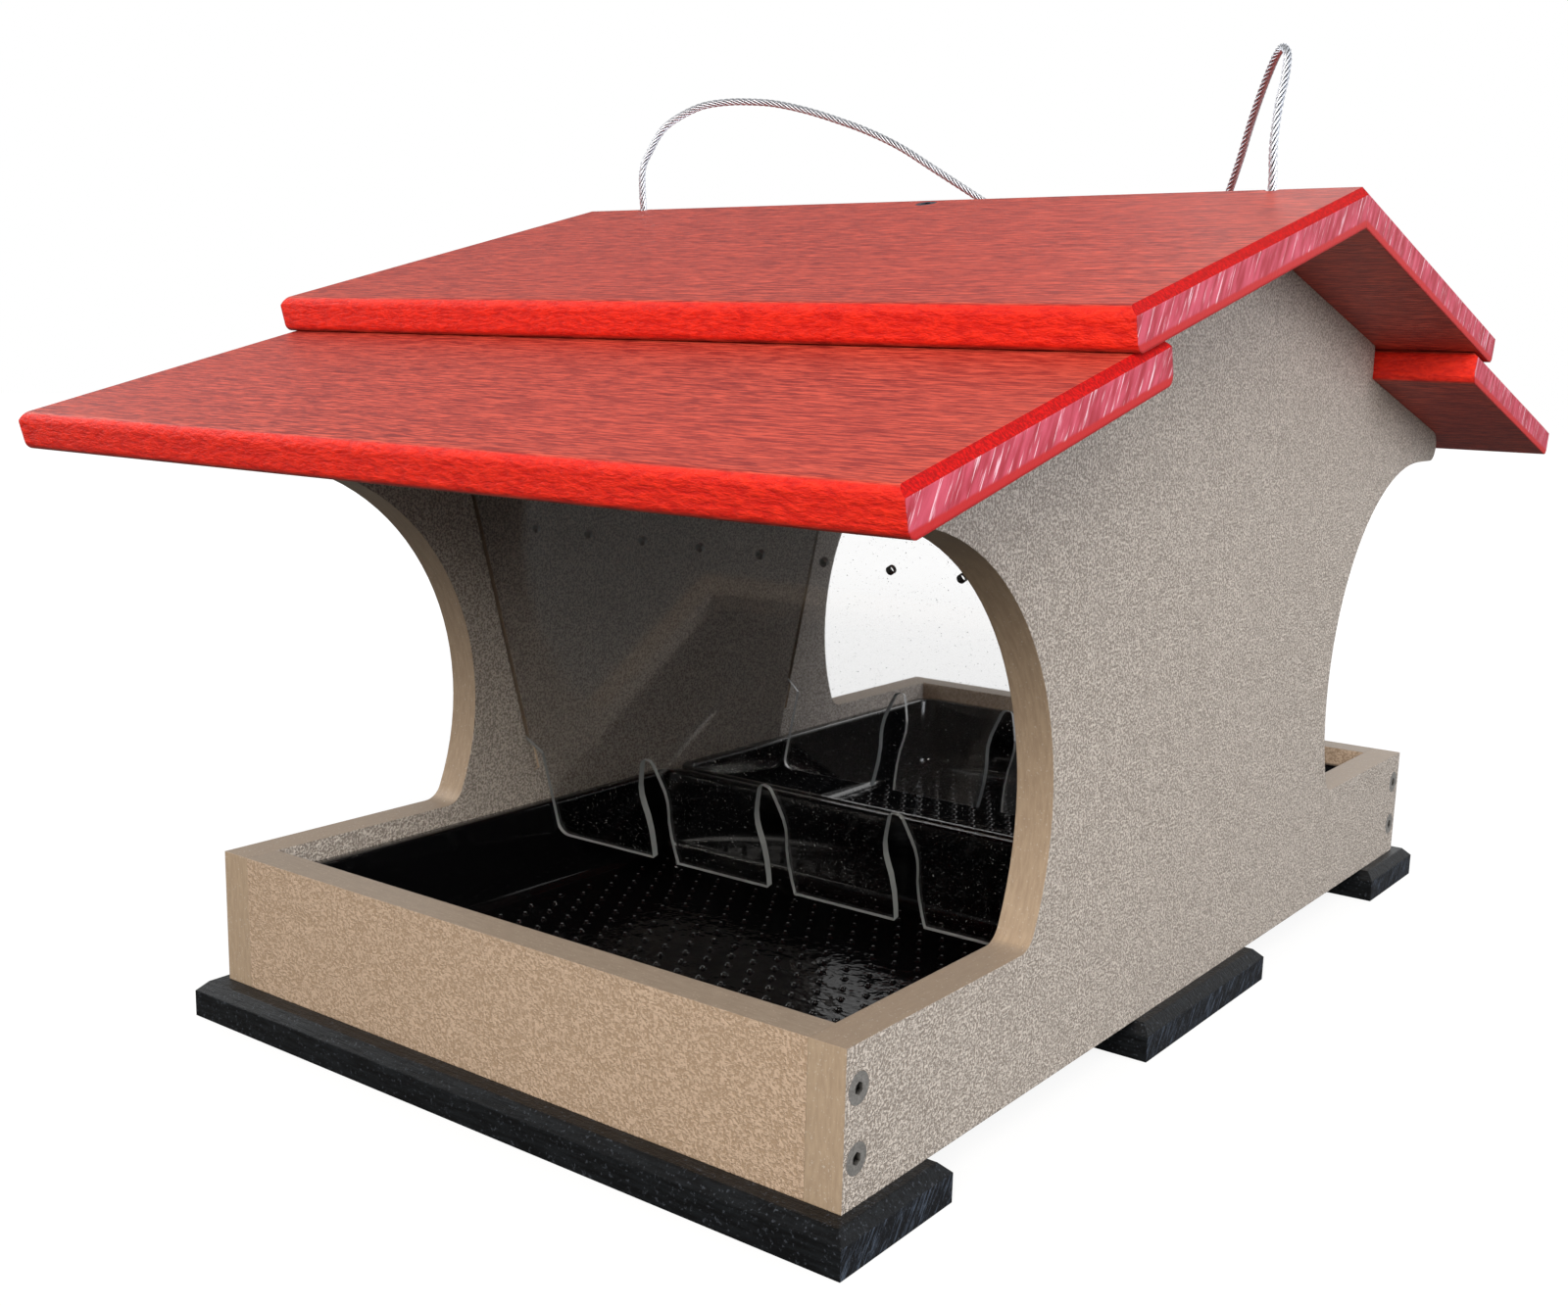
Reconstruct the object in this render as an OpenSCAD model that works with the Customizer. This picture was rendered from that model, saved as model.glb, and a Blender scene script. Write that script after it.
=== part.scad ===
// Hopper bird feeder, two open ends with a tray each, a lift-off four-board roof and a wire hanger.
// X runs along the ridge, the front opening faces -Y, Z is up. Origin under the middle of the slats.
// All sizes are in millimetres.

/* [Housing] */
// Width over the two end panels
body_w = 268; // [200:1:400]
// Depth over the front and rear rails
body_d = 453; // [380:1:600]
// Thickness of an end panel
panel_t = 12.7; // [9:0.1:19]
// Thickness of a rail
rail_t = 12.7; // [9:0.1:19]
// Height of the low wall round the trays
wall_h = 47.4; // [42:0.1:80]
// Height of the gable peak above the bottom edge of the panel
peak_h = 270.4; // [250:0.1:330]
// Radius of the scooped opening
scoop_r = 94; // [70:1:100]
// Distance of the scoop's centre from the middle of the panel
scoop_y = 213; // [205:1:225]
// Height of the scoop's centre above the bottom edge of the panel
scoop_z = 89.6; // [80:0.1:95]
// Radius in the corner between the scoop and the low wall
scoop_fillet = 8; // [4:0.5:12]
// Distance of the tip of the panel's eave from the middle of the panel
eave_tip_y = 236; // [228:1:242]

/* [Slats] */
// Thickness of the slats
slat_t = 12.7; // [9:0.1:19]
// How far the slats stand out past the end panels
slat_over = 6.8; // [1:0.1:60]
// Width of the front and rear slats
slat_w = 55.8; // [40:0.1:70]
// Width of the middle slat
middle_slat_w = 104.8; // [60:0.1:130]
// How far the outer slats stand out past the rails
slat_out = 9.6; // [4:0.1:14]
// Bevel along the top edges of the slats
slat_bevel = 3.4; // [1:0.1:5]

/* [Roof] */
// Slope of the roof in degrees
roof_pitch = 14.7; // [12:0.1:18]
// How far the roof boards stand out past the end panels
roof_over = 40.1; // [24:0.1:70]
// Thickness of the roof boards
board_t = 12.7; // [9:0.1:19]
// Width of an upper roof board along the slope
upper_w = 172; // [165:0.5:185]
// Width of a lower roof board along the slope
lower_w = 132; // [110:0.5:150]
// Overlap of the upper board on the lower board
lap_w = 20; // [16:0.5:28]
// Rounding of the long edges of the roof boards
board_round = 3.2; // [1:0.1:5]
// Bevel at the ends of the roof boards
board_bevel = 2.4; // [0.5:0.1:4]
// Gap between a lower roof board and the step in the panel
step_gap = 0.3; // [0.2:0.1:1]
// Width of the cleat under the ridge
cleat_w = 44; // [36:1:60]
// Gap between each end of the cleat and the end panel
cleat_end_gap = 13.3; // [11:0.1:40]
// Thickness of the cleat at the ridge
cleat_t = 12; // [10:0.5:13]

/* [Windows] */
// Thickness of the clear windows
window_t = 3; // [2:0.1:4]
// Lean of the windows from upright in degrees
window_tilt = 16; // [12:0.5:18]
// Distance of the window's reference point inward from the step in the panel's top edge
window_in = 36.8; // [34:0.1:45]
// Height of the window's reference point above the bottom edge of the panel
window_z = 110.9; // [100:0.1:115]
// Room between the window's top edge and the upper roof board
window_room = 10.7; // [8:0.1:40]
// Depth of the window below its reference point, along the window
window_bottom = 88.8; // [80:0.1:92]
// Depth of the shoulder below the reference point, along the window
window_shoulder = 44.2; // [40:0.1:47]
// Drop of the slanted shoulder
shoulder_drop = 7; // [4:0.1:10]
// How far the window's edge reaches into the groove
window_engage = 2.9; // [2:0.1:3.5]
// Depth of the groove in the panel
groove_depth = 3.3; // [2.8:0.1:5]
// Gap between the window and each wall of its groove
groove_gap = 0.2; // [0.1:0.05:0.4]
// Distance of the window's lower sides from the end panels
window_foot_in = 6.8; // [5.3:0.1:20]
// Rounding of the lower corners of the window
window_round = 5; // [2:0.5:8]
// Distance from one seed slot to the next
slot_pitch = 57.5; // [45:0.5:60]
// Sideways offset of the row of seed slots
slot_shift = 1; // [-4:0.5:4]
// Depth of the top of a seed slot below the reference point
slot_top = 43.6; // [40:0.1:50]
// Distance from one vent hole to the next
vent_pitch = 26.65; // [20:0.05:28]
// Sideways offset of the row of vent holes
vent_shift = 3; // [-5:0.5:5]
// Height of the vent holes above the reference point
vent_up = 48.4; // [30:0.1:60]
// Diameter of a vent hole
vent_d = 3; // [2:0.1:5]

/* [Trays] */
// Height of a tray
tray_h = 40; // [30:0.5:42]
// Thickness of a tray's walls
tray_wall = 2; // [1.5:0.1:3]
// Thickness of a tray's floor
tray_floor = 2.5; // [1.5:0.1:4]
// Width of the lip round a tray
lip_w = 3; // [2:0.1:5]
// Thickness of the lip round a tray
lip_t = 1.8; // [1:0.1:3]
// Radius of a tray's corners
tray_corner = 12; // [8:0.5:20]
// Gap between a tray's lip and the housing
tray_gap = 0.8; // [0.4:0.1:1.5]
// Gap between the two trays
tray_split = 0.5; // [0.3:0.1:2]

/* [Screws] */
// Head diameter of the screws in the rails and slats
screw_head_d = 9.6; // [8:0.1:10.4]
// Shank diameter of the screws in the rails and slats
screw_d = 4.8; // [4:0.1:5]
// Length of the screws in the rails
rail_screw_l = 38; // [30:1:45]
// Length of the screws in the slats
slat_screw_l = 32; // [25:1:38]
// Height of the lower rail screws above the bottom edge of the panel
screw_low_z = 14; // [10:0.5:17]
// Height of the upper rail screws above the bottom edge of the panel
screw_high_z = 34.3; // [28:0.1:37]
// Distance of each outer screw in the middle slat from the middle
middle_screw_y = 34; // [15:1:44]
// Head diameter of the small screws in the roof
roof_screw_head_d = 8.2; // [6.5:0.1:8.4]
// Shank diameter of the small screws in the roof
roof_screw_d = 4; // [3:0.1:4.2]
// Length of the screw in the ridge
ridge_screw_l = 20; // [16:1:22]
// Length of the screws in the cleat
cleat_screw_l = 16; // [13:1:18]
// Length of the screws in the laps
lap_screw_l = 20; // [15:1:22]
// Distance of the ridge screw down the front slope
ridge_screw_s = 6.2; // [6:0.1:9]
// Sideways position of the ridge screw
ridge_screw_x = 7; // [-20:1:20]
// Sideways distance of the outer screws in the cleat
cleat_screw_x = 90; // [40:1:98]
// Distance of the cleat's screws from the ridge
cleat_screw_y = 14; // [13:0.5:16]
// Sideways distance of the outer screws in the laps
lap_screw_x = 105; // [60:1:110]

/* [Hanger] */
// Diameter of the wire cable
cable_d = 3; // [2:0.1:4]
// Distance of the cable's holes in the ridge from the end panels
cable_out = 7; // [5:0.5:16]
// Depth of the cable's hole in a panel below the gable peak
cable_drop = 18.4; // [16.4:0.1:24.4]
// Diameter of the hole in the panel
panel_hole_d = 3.8; // [3.4:0.1:5]
// Diameter of the hole through the ridge
ridge_hole_d = 5; // [4:0.1:7]
// Diameter of a stop ferrule
ferrule_d = 7; // [5:0.5:9]
// Length of a stop ferrule
ferrule_l = 9; // [6:0.5:11]

/* [Hidden] */
$fn = 64;

cut = 0.5;
screw_gap = 0.05;
sink_angle = 41;
socket_d = 4;
socket_depth = 1.6;
seam_turn = 35;
runout_l = 14;
runout_depth = 1;
seat_gap = 0.02;
cable_rise = 0.1;
inner_x = body_w / 2 - panel_t;
slat_l = body_w + 2 * slat_over;
roof_l = body_w + 2 * roof_over;
cleat_l = 2 * (inner_x - cleat_end_gap);
cable_x = body_w / 2 + cable_out;
cable_z = peak_h - cable_drop;
ridge_z = slat_t + peak_h + board_t / cos(roof_pitch);
lower_s0 = upper_w - lap_w;
step_y = lower_s0 * cos(roof_pitch) - 2 * board_t * sin(roof_pitch) - step_gap;
eave_under_z = scoop_z + scoop_r;
eave_tip_r = (lower_line(eave_tip_y) - eave_under_z) / (1 + 1 / cos(roof_pitch) - tan(roof_pitch));
fillet_dz = wall_h + scoop_fillet - scoop_z;
fillet_dy = sqrt(pow(scoop_r - scoop_fillet, 2) - pow(fillet_dz, 2));
window_y = step_y - window_in;
window_lean = cos(window_tilt) + sin(window_tilt) * tan(roof_pitch);
window_top = (upper_line(window_y) - window_room - window_z) / window_lean;
window_foot_w = 2 * (inner_x - window_foot_in);
window_half_w = inner_x + window_engage;
tray_y0 = tray_split / 2;
tray_y1 = body_d / 2 - rail_t - tray_gap;
tray_w = 2 * (inner_x - tray_gap);
panel_color = [0.60, 0.53, 0.45];
rail_color = [0.66, 0.56, 0.45];
roof_color = [0.76, 0.11, 0.12];
slat_color = [0.17, 0.18, 0.20];
tray_color = [0.05, 0.05, 0.06];
clear_color = [0.80, 0.88, 0.92, 0.35];
steel_color = [0.62, 0.62, 0.60];

// Half of each seed slot from its top down, as distances below the top and half widths.
slot_half = [[0, 0], [0.5, 2], [1.6, 2.9], [4.5, 3.9], [8.4, 5.2], [13, 6.5], [17.4, 6.9], [21.5, 6.5],
  [26.4, 5.7], [33.4, 5.4], [40.4, 5.8], [46.5, 6.5]];

// Centre line of the cable from the left ridge hole over the roof to the right ridge hole.
cable_points = [[-141, 0, 283.3], [-141, 0, 290], [-141, -0.4, 296.5], [-141.2, -1, 303], [-142, 0, 313.5],
  [-141.5, 4, 321], [-139.8, 10, 330.3], [-135, 16, 336.4], [-127.4, 22, 341], [-119, 28, 342.8],
  [-110.7, 33, 343.1], [-101, 39, 342.5], [-88.4, 45, 339.7], [-76, 51, 335.7], [-63.5, 57, 330.9],
  [-50, 62, 324.3], [-37, 67, 316], [-24, 73, 307.4], [-10, 80, 298], [5, 87, 288], [20, 93, 279.2],
  [36, 97, 273.4], [53, 98, 272.9], [68, 94, 276.8], [80, 85.5, 284], [90, 75.5, 293.4], [99, 64, 304],
  [106, 55, 314], [112.6, 46, 324.2], [119.4, 37, 333.3], [124.6, 30, 339], [129.8, 23, 343.6],
  [134, 17.5, 344.9], [137.8, 12.5, 341.9], [139.3, 8.5, 334.5], [139.6, 4.5, 326], [139.9, 1.5, 316.5],
  [140.4, 0, 308], [140.9, 0, 301], [141, 0, 292], [141, 0, 283.3]];

// Centre line of the right tail from the ferrule inside the panel up to the ridge.
tail_points = [[0, 0, 0], [4, 0, 0], [9, 0, 0], [12.9, 0, 0.2], [16, 0, 1.4], [18.2, 0, 3.6], [19.4, 0, 6.6],
  [19.6, 0, 10], [19.6, 0, 14]];

// Height of the panel's top edge above its bottom edge under the upper and the lower boards.
function upper_line(y) = peak_h - y * tan(roof_pitch);
function lower_line(y) = upper_line(y) - board_t / cos(roof_pitch) - seat_gap;

// Tube along a chain of points: smooth points, direction at each, and the rings.
function unit(v) = v / norm(v);
function spline(a, b, c, d, t) = 0.5 * (2 * b + (c - a) * t + (2 * a - 5 * b + 4 * c - d) * t * t
  + (3 * b - a - 3 * c + d) * t * t * t);
function halved(p) = [for (i = [0 : len(p) - 2], t = [0, 0.5])
  spline(p[max(i - 1, 0)], p[i], p[i + 1], p[min(i + 2, len(p) - 1)], t), p[len(p) - 1]];
function along(p, i) = unit(p[min(i + 1, len(p) - 1)] - p[max(i - 1, 0)]);
function ring(c, t, r, n) = let (u = unit(cross(t, [0, 1, 0])), v = cross(u, t))
  [for (k = [0 : n - 1]) c + r * (cos(360 * k / n) * u + sin(360 * k / n) * v)];

module tube(p, d, n = 8) {
  m = len(p);
  rings = [for (i = [0 : m - 1]) each ring(p[i], along(p, i), d / 2, n)];
  first = [for (k = [0 : n - 1]) k];
  last = [for (k = [n - 1 : -1 : 0]) (m - 1) * n + k];
  walls = [for (i = [0 : m - 2], k = [0 : n - 1]) let (j = (k + 1) % n)
    each [[i * n + k, (i + 1) * n + k, (i + 1) * n + j], [i * n + k, (i + 1) * n + j, i * n + j]]];
  polyhedron(points = rings, faces = concat([first, last], walls));
}

module both_x() {
  children();
  mirror([1, 0, 0]) children();
}

module both_y() {
  children();
  mirror([0, 1, 0]) children();
}

// Countersunk screw pointing down from its head at z = 0, and the hole that it sits in.
module screw(head, shank, length) {
  sink = (head - shank) / 2 / tan(sink_angle);
  difference() {
    rotate_extrude() polygon([[0, -length], [shank / 2, -length], [shank / 2, -sink], [head / 2, 0], [0, 0]]);
    translate([0, 0, -socket_depth]) cylinder(h = socket_depth + cut, d = socket_d, $fn = 6);
  }
}

module screw_hole(head, shank, length) {
  sink = (head - shank) / 2 / tan(sink_angle);
  wide = head / 2 + screw_gap;
  thin = shank / 2 + screw_gap;
  rotate_extrude() polygon([[0, -length - screw_gap], [thin, -length - screw_gap], [thin, -sink], [wide, 0],
    [wide, cut], [0, cut]]);
}

// Places of the screws, each with the head's face at the child's origin.
module at_rail_screws() {
  for (z = [screw_low_z, screw_high_z])
    both_x() both_y()
      translate([body_w / 2, body_d / 2 - rail_t / 2, slat_t + z]) rotate([0, 90, 0]) children();
}

module at_slat_screws() {
  x = body_w / 2 - panel_t / 2;
  y = body_d / 2 + slat_out - slat_w / 2;
  both_x() both_y() {
    translate([x, y, 0]) rotate([180, 0, 0]) children();
    translate([x, middle_screw_y, 0]) rotate([180, 0, 0]) children();
  }
}

module on_slope() {
  translate([0, 0, ridge_z]) rotate([-roof_pitch, 0, 0]) children();
}

module at_ridge_screw() {
  mirror([0, 1, 0]) on_slope() translate([ridge_screw_x, ridge_screw_s, 0]) children();
}

module at_cleat_screws() {
  for (x = [-cleat_screw_x, 0, cleat_screw_x])
    both_y() translate([x, cleat_screw_y, slat_t + peak_h - cleat_t]) rotate([180, 0, 0]) children();
}

module at_lap_screws() {
  for (x = [-lap_screw_x, 0, lap_screw_x])
    both_y() on_slope() translate([x, upper_w - lap_w / 2, -2 * board_t]) rotate([180, 0, 0]) children();
}

// Opening scooped out of the panel between the low wall and the eave.
module scoop_shape() {
  mid = [scoop_y - fillet_dy, wall_h + scoop_fillet];
  outward = [-fillet_dy, fillet_dz] / (scoop_r - scoop_fillet);
  difference() {
    union() {
      translate([scoop_y, scoop_z]) circle(r = scoop_r);
      translate([scoop_y, wall_h]) square([scoop_r, eave_under_z - wall_h]);
    }
    translate([0, -scoop_r]) square([body_d, scoop_r + wall_h]);
    difference() {
      polygon([mid, mid + 2 * scoop_fillet * outward, [scoop_y - scoop_r, wall_h - cut],
        [mid[0], wall_h - cut]]);
      translate(mid) circle(r = scoop_fillet);
    }
  }
}

// What the rounded tip of the eave leaves out.
module eave_tip_shape() {
  mid = [eave_tip_y - eave_tip_r, eave_under_z + eave_tip_r];
  up = 2 * eave_tip_r * [sin(roof_pitch), cos(roof_pitch)];
  out = 3 * eave_tip_r * [cos(roof_pitch), -sin(roof_pitch)];
  difference() {
    polygon([mid, mid + up, mid + up + out, mid + [3, -2] * eave_tip_r, mid + [0, -2] * eave_tip_r]);
    translate(mid) circle(r = eave_tip_r);
  }
}

module panel_outline() {
  side = [[body_d / 2, 0], [body_d / 2, wall_h], [eave_tip_y, wall_h], [eave_tip_y, lower_line(eave_tip_y)],
    [step_y, lower_line(step_y)], [step_y, upper_line(step_y)]];
  difference() {
    polygon(concat(side, [[0, peak_h]], [for (i = [len(side) - 1 : -1 : 0]) [-side[i][0], side[i][1]]]));
    for (s = [0, 1])
      mirror([s, 0]) {
        scoop_shape();
        eave_tip_shape();
      }
  }
}

// Clear window in its own frame: x across, y through, z up along the window from the reference point.
module at_window() {
  translate([0, -window_y, slat_t + window_z]) rotate([window_tilt, 0, 0]) children();
}

module window_outline() {
  foot = window_foot_w / 2;
  low = -window_shoulder - shoulder_drop;
  corner = [foot - window_round, window_round - window_bottom];
  difference() {
    polygon([[-window_half_w, window_top], [window_half_w, window_top], [window_half_w, -window_shoulder],
      [foot, low], [foot, -window_bottom], [-foot, -window_bottom], [-foot, low],
      [-window_half_w, -window_shoulder]]);
    for (s = [0, 1])
      mirror([s, 0]) translate(corner) difference() {
        translate([0, -window_round - cut]) square(window_round + cut);
        circle(r = window_round);
      }
    for (i = [-1 : 1])
      translate([slot_shift + i * slot_pitch, -slot_top])
        polygon(concat([for (q = slot_half) [-q[1], -q[0]]],
          [for (k = [len(slot_half) - 1 : -1 : 1]) [slot_half[k][1], -slot_half[k][0]]]));
    for (i = [-3.5 : 3.5])
      translate([vent_shift + i * vent_pitch, vent_up]) circle(d = vent_d);
  }
}

module groove() {
  contact = window_shoulder + shoulder_drop * window_engage / (window_half_w - window_foot_w / 2);
  at_window() {
    translate([inner_x - cut, -groove_gap, -contact])
      cube([groove_depth + cut, window_t + 2 * groove_gap, window_top + 2 * contact]);
    translate([inner_x - cut, -groove_gap, -contact - runout_l])
      cube([runout_depth + cut, window_t + 2 * groove_gap, runout_l + cut]);
  }
}

module end_panel() {
  difference() {
    translate([inner_x, 0, slat_t]) rotate([90, 0, 90]) linear_extrude(panel_t) panel_outline();
    both_y() groove();
    translate([inner_x - cut, 0, slat_t + cable_z]) rotate([0, 90, 0])
      cylinder(h = panel_t + 2 * cut, d = panel_hole_d);
  }
}

module right_end_panel() {
  color(panel_color) difference() {
    end_panel();
    at_rail_screws() screw_hole(screw_head_d, screw_d, rail_screw_l);
    at_slat_screws() screw_hole(screw_head_d, screw_d, slat_screw_l);
  }
}

module left_end_panel() {
  color(panel_color) difference() {
    mirror([1, 0, 0]) end_panel();
    at_rail_screws() screw_hole(screw_head_d, screw_d, rail_screw_l);
    at_slat_screws() screw_hole(screw_head_d, screw_d, slat_screw_l);
  }
}

module front_rail() {
  color(rail_color) difference() {
    translate([-inner_x, -body_d / 2, slat_t]) cube([2 * inner_x, rail_t, wall_h]);
    at_rail_screws() screw_hole(screw_head_d, screw_d, rail_screw_l);
  }
}

module rear_rail() {
  color(rail_color) difference() {
    translate([-inner_x, body_d / 2 - rail_t, slat_t]) cube([2 * inner_x, rail_t, wall_h]);
    at_rail_screws() screw_hole(screw_head_d, screw_d, rail_screw_l);
  }
}

// Slat centred on x and y with its bottom at z = 0.
module bevelled_plate(l, w, t, b) {
  intersection() {
    translate([-l / 2, 0, 0]) rotate([90, 0, 90]) linear_extrude(l)
      polygon([[-w / 2, 0], [w / 2, 0], [w / 2, t - b], [w / 2 - b, t], [b - w / 2, t], [-w / 2, t - b]]);
    translate([0, w / 2, 0]) rotate([90, 0, 0]) linear_extrude(w)
      polygon([[-l / 2, 0], [l / 2, 0], [l / 2, t - b], [l / 2 - b, t], [b - l / 2, t], [-l / 2, t - b]]);
  }
}

module slat(y, w) {
  color(slat_color) difference() {
    translate([0, y, 0]) bevelled_plate(slat_l, w, slat_t, slat_bevel);
    at_slat_screws() screw_hole(screw_head_d, screw_d, slat_screw_l);
  }
}

module front_slat() {
  slat(-(body_d / 2 + slat_out - slat_w / 2), slat_w);
}

module middle_slat() {
  slat(0, middle_slat_w);
}

module rear_slat() {
  slat(body_d / 2 + slat_out - slat_w / 2, slat_w);
}

module rail_screws() {
  color(steel_color) at_rail_screws() screw(screw_head_d, screw_d, rail_screw_l);
}

module slat_screws() {
  color(steel_color) at_slat_screws() screw(screw_head_d, screw_d, slat_screw_l);
}

module cable_tails() {
  far = tail_points[len(tail_points) - 1];
  wide = (cable_x - inner_x) / far[0];
  tall = (peak_h + cable_rise - cable_z) / far[2];
  color(steel_color) both_x()
    tube([for (q = tail_points) [inner_x + wide * q[0], 0, slat_t + cable_z + tall * q[2]]], cable_d);
}

module cable_ferrules() {
  color(steel_color) both_x()
    translate([inner_x - ferrule_l, 0, slat_t + cable_z]) rotate([0, 90, 0])
      cylinder(h = ferrule_l, d = ferrule_d);
}

module front_window() {
  color(clear_color) at_window() translate([0, window_t, 0]) rotate([90, 0, 0])
    linear_extrude(window_t) window_outline();
}

module rear_window() {
  mirror([0, 1, 0]) front_window();
}

module rounded(w, y0, y1, inset, r) {
  a = w / 2 - inset;
  c = max(r - inset, 1);
  translate([-a + c, y0 + inset]) square([2 * (a - c), y1 - y0 - 2 * inset]);
  translate([-a, y0 + inset + c]) square([2 * a, y1 - y0 - 2 * inset - 2 * c]);
  for (x = [-a + c, a - c], y = [y0 + inset + c, y1 - inset - c])
    translate([x, y]) circle(r = c);
}

module rear_tray() {
  color(tray_color) translate([0, 0, slat_t]) difference() {
    union() {
      linear_extrude(tray_h) rounded(tray_w, tray_y0, tray_y1, lip_w, tray_corner);
      translate([0, 0, tray_h - lip_t]) linear_extrude(lip_t)
        rounded(tray_w, tray_y0, tray_y1, 0, tray_corner);
    }
    translate([0, 0, tray_floor]) linear_extrude(tray_h)
      rounded(tray_w, tray_y0, tray_y1, lip_w + tray_wall, tray_corner);
  }
}

module front_tray() {
  mirror([0, 1, 0]) rear_tray();
}

// Roof board in the frame of the slope: y down the slope, z up through the board.
module board_ends(w, d) {
  h = roof_l / 2;
  b = board_bevel;
  translate([0, w, d]) rotate([90, 0, 0]) linear_extrude(w + 1)
    polygon([[-h, 0], [h, 0], [h, board_t - b], [h - b, board_t], [b - h, board_t], [-h, board_t - b]]);
}

module upper_section() {
  r = board_round;
  polygon([[0, 0], [board_t * tan(roof_pitch), -board_t], [upper_w - r, -board_t], [upper_w - r, 0]]);
  translate([upper_w - 2 * r, -board_t + r]) square([2 * r, board_t - 2 * r]);
  for (z = [-r, -board_t + r])
    translate([upper_w - r, z]) circle(r = r);
}

module lower_section() {
  r = board_round;
  translate([lower_s0 + r, -2 * board_t]) square([lower_w - 2 * r, board_t]);
  translate([lower_s0, -2 * board_t + r]) square([lower_w, board_t - 2 * r]);
  for (y = [lower_s0 + r, lower_s0 + lower_w - r], z = [-board_t - r, -2 * board_t + r])
    translate([y, z]) circle(r = r);
}

module extruded_section() {
  translate([-roof_l / 2, 0, 0]) rotate([90, 0, 90]) linear_extrude(roof_l) children();
}

module roof_cuts() {
  for (x = [-cable_x, cable_x])
    translate([x, 0, ridge_z - 2 * board_t]) rotate([0, 0, seam_turn])
      cylinder(h = 3 * board_t, d = ridge_hole_d);
  at_ridge_screw() screw_hole(roof_screw_head_d, roof_screw_d, ridge_screw_l);
  at_cleat_screws() screw_hole(roof_screw_head_d, roof_screw_d, cleat_screw_l);
  at_lap_screws() screw_hole(roof_screw_head_d, roof_screw_d, lap_screw_l);
}

module upper_board() {
  on_slope() intersection() {
    extruded_section() upper_section();
    board_ends(upper_w, -board_t);
  }
}

module lower_board() {
  on_slope() intersection() {
    extruded_section() lower_section();
    board_ends(lower_s0 + lower_w, -2 * board_t);
  }
}

module rear_upper_board() {
  color(roof_color) difference() {
    upper_board();
    roof_cuts();
  }
}

module front_upper_board() {
  color(roof_color) difference() {
    mirror([0, 1, 0]) upper_board();
    roof_cuts();
  }
}

module rear_lower_board() {
  color(roof_color) difference() {
    lower_board();
    roof_cuts();
  }
}

module front_lower_board() {
  color(roof_color) difference() {
    mirror([0, 1, 0]) lower_board();
    roof_cuts();
  }
}

module ridge_cleat() {
  side = upper_line(cleat_w / 2);
  color(roof_color) difference() {
    translate([-cleat_l / 2, 0, slat_t]) rotate([90, 0, 90]) linear_extrude(cleat_l)
      polygon([[-cleat_w / 2, peak_h - cleat_t], [cleat_w / 2, peak_h - cleat_t], [cleat_w / 2, side],
        [0, peak_h], [-cleat_w / 2, side]]);
    roof_cuts();
  }
}

module cleat_screws() {
  color(steel_color) at_cleat_screws() screw(roof_screw_head_d, roof_screw_d, cleat_screw_l);
}

module ridge_screw() {
  color(steel_color) at_ridge_screw() screw(roof_screw_head_d, roof_screw_d, ridge_screw_l);
}

module lap_screws() {
  color(steel_color) at_lap_screws() screw(roof_screw_head_d, roof_screw_d, lap_screw_l);
}

module hanging_cable() {
  foot = cable_points[len(cable_points) - 1];
  wide = cable_x / foot[0];
  lift = slat_t + peak_h + 2 * cable_rise - foot[2];
  color(steel_color) tube([for (q = halved(cable_points)) [wide * q[0], q[1], q[2] + lift]], cable_d);
}

right_end_panel();
left_end_panel();
front_rail();
rear_rail();
front_slat();
middle_slat();
rear_slat();
rail_screws();
slat_screws();
cable_tails();
cable_ferrules();
front_window();
rear_window();
front_tray();
rear_tray();
front_upper_board();
rear_upper_board();
front_lower_board();
rear_lower_board();
ridge_cleat();
cleat_screws();
ridge_screw();
lap_screws();
hanging_cable();
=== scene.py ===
"""Looks of the hopper bird feeder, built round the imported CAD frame.

Metres, Z up, the ridge along X and the front opening facing -Y.
"""

import logging
import math
from dataclasses import dataclass
from enum import Enum

import bmesh
import bpy
from mathutils import Euler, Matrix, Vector


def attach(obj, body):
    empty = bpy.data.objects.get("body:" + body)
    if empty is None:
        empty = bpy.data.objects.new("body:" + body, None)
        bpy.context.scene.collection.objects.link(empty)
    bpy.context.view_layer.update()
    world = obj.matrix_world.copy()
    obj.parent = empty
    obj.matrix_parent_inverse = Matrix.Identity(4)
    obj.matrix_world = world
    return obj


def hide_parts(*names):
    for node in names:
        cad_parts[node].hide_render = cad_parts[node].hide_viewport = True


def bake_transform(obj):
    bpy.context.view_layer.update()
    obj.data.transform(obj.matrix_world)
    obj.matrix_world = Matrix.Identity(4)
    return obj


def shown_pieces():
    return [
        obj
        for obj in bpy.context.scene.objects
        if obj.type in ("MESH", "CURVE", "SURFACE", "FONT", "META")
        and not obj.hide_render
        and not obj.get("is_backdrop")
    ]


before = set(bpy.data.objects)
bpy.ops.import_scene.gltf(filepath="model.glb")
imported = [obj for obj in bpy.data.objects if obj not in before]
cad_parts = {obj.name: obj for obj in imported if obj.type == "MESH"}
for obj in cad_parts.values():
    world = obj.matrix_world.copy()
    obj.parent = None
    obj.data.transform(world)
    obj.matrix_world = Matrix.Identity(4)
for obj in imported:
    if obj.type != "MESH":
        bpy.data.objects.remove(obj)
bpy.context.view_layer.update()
LOG = logging.getLogger("feeder")

MM = 0.001
# A metre in millimetres.
METRE = 1000.0
SLAT_T = 12.7 * MM
BOARD_T = 12.7 * MM
RIDGE_Z = 296.23 * MM
PITCH = math.radians(14.7)
TILT = math.radians(16.0)

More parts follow.
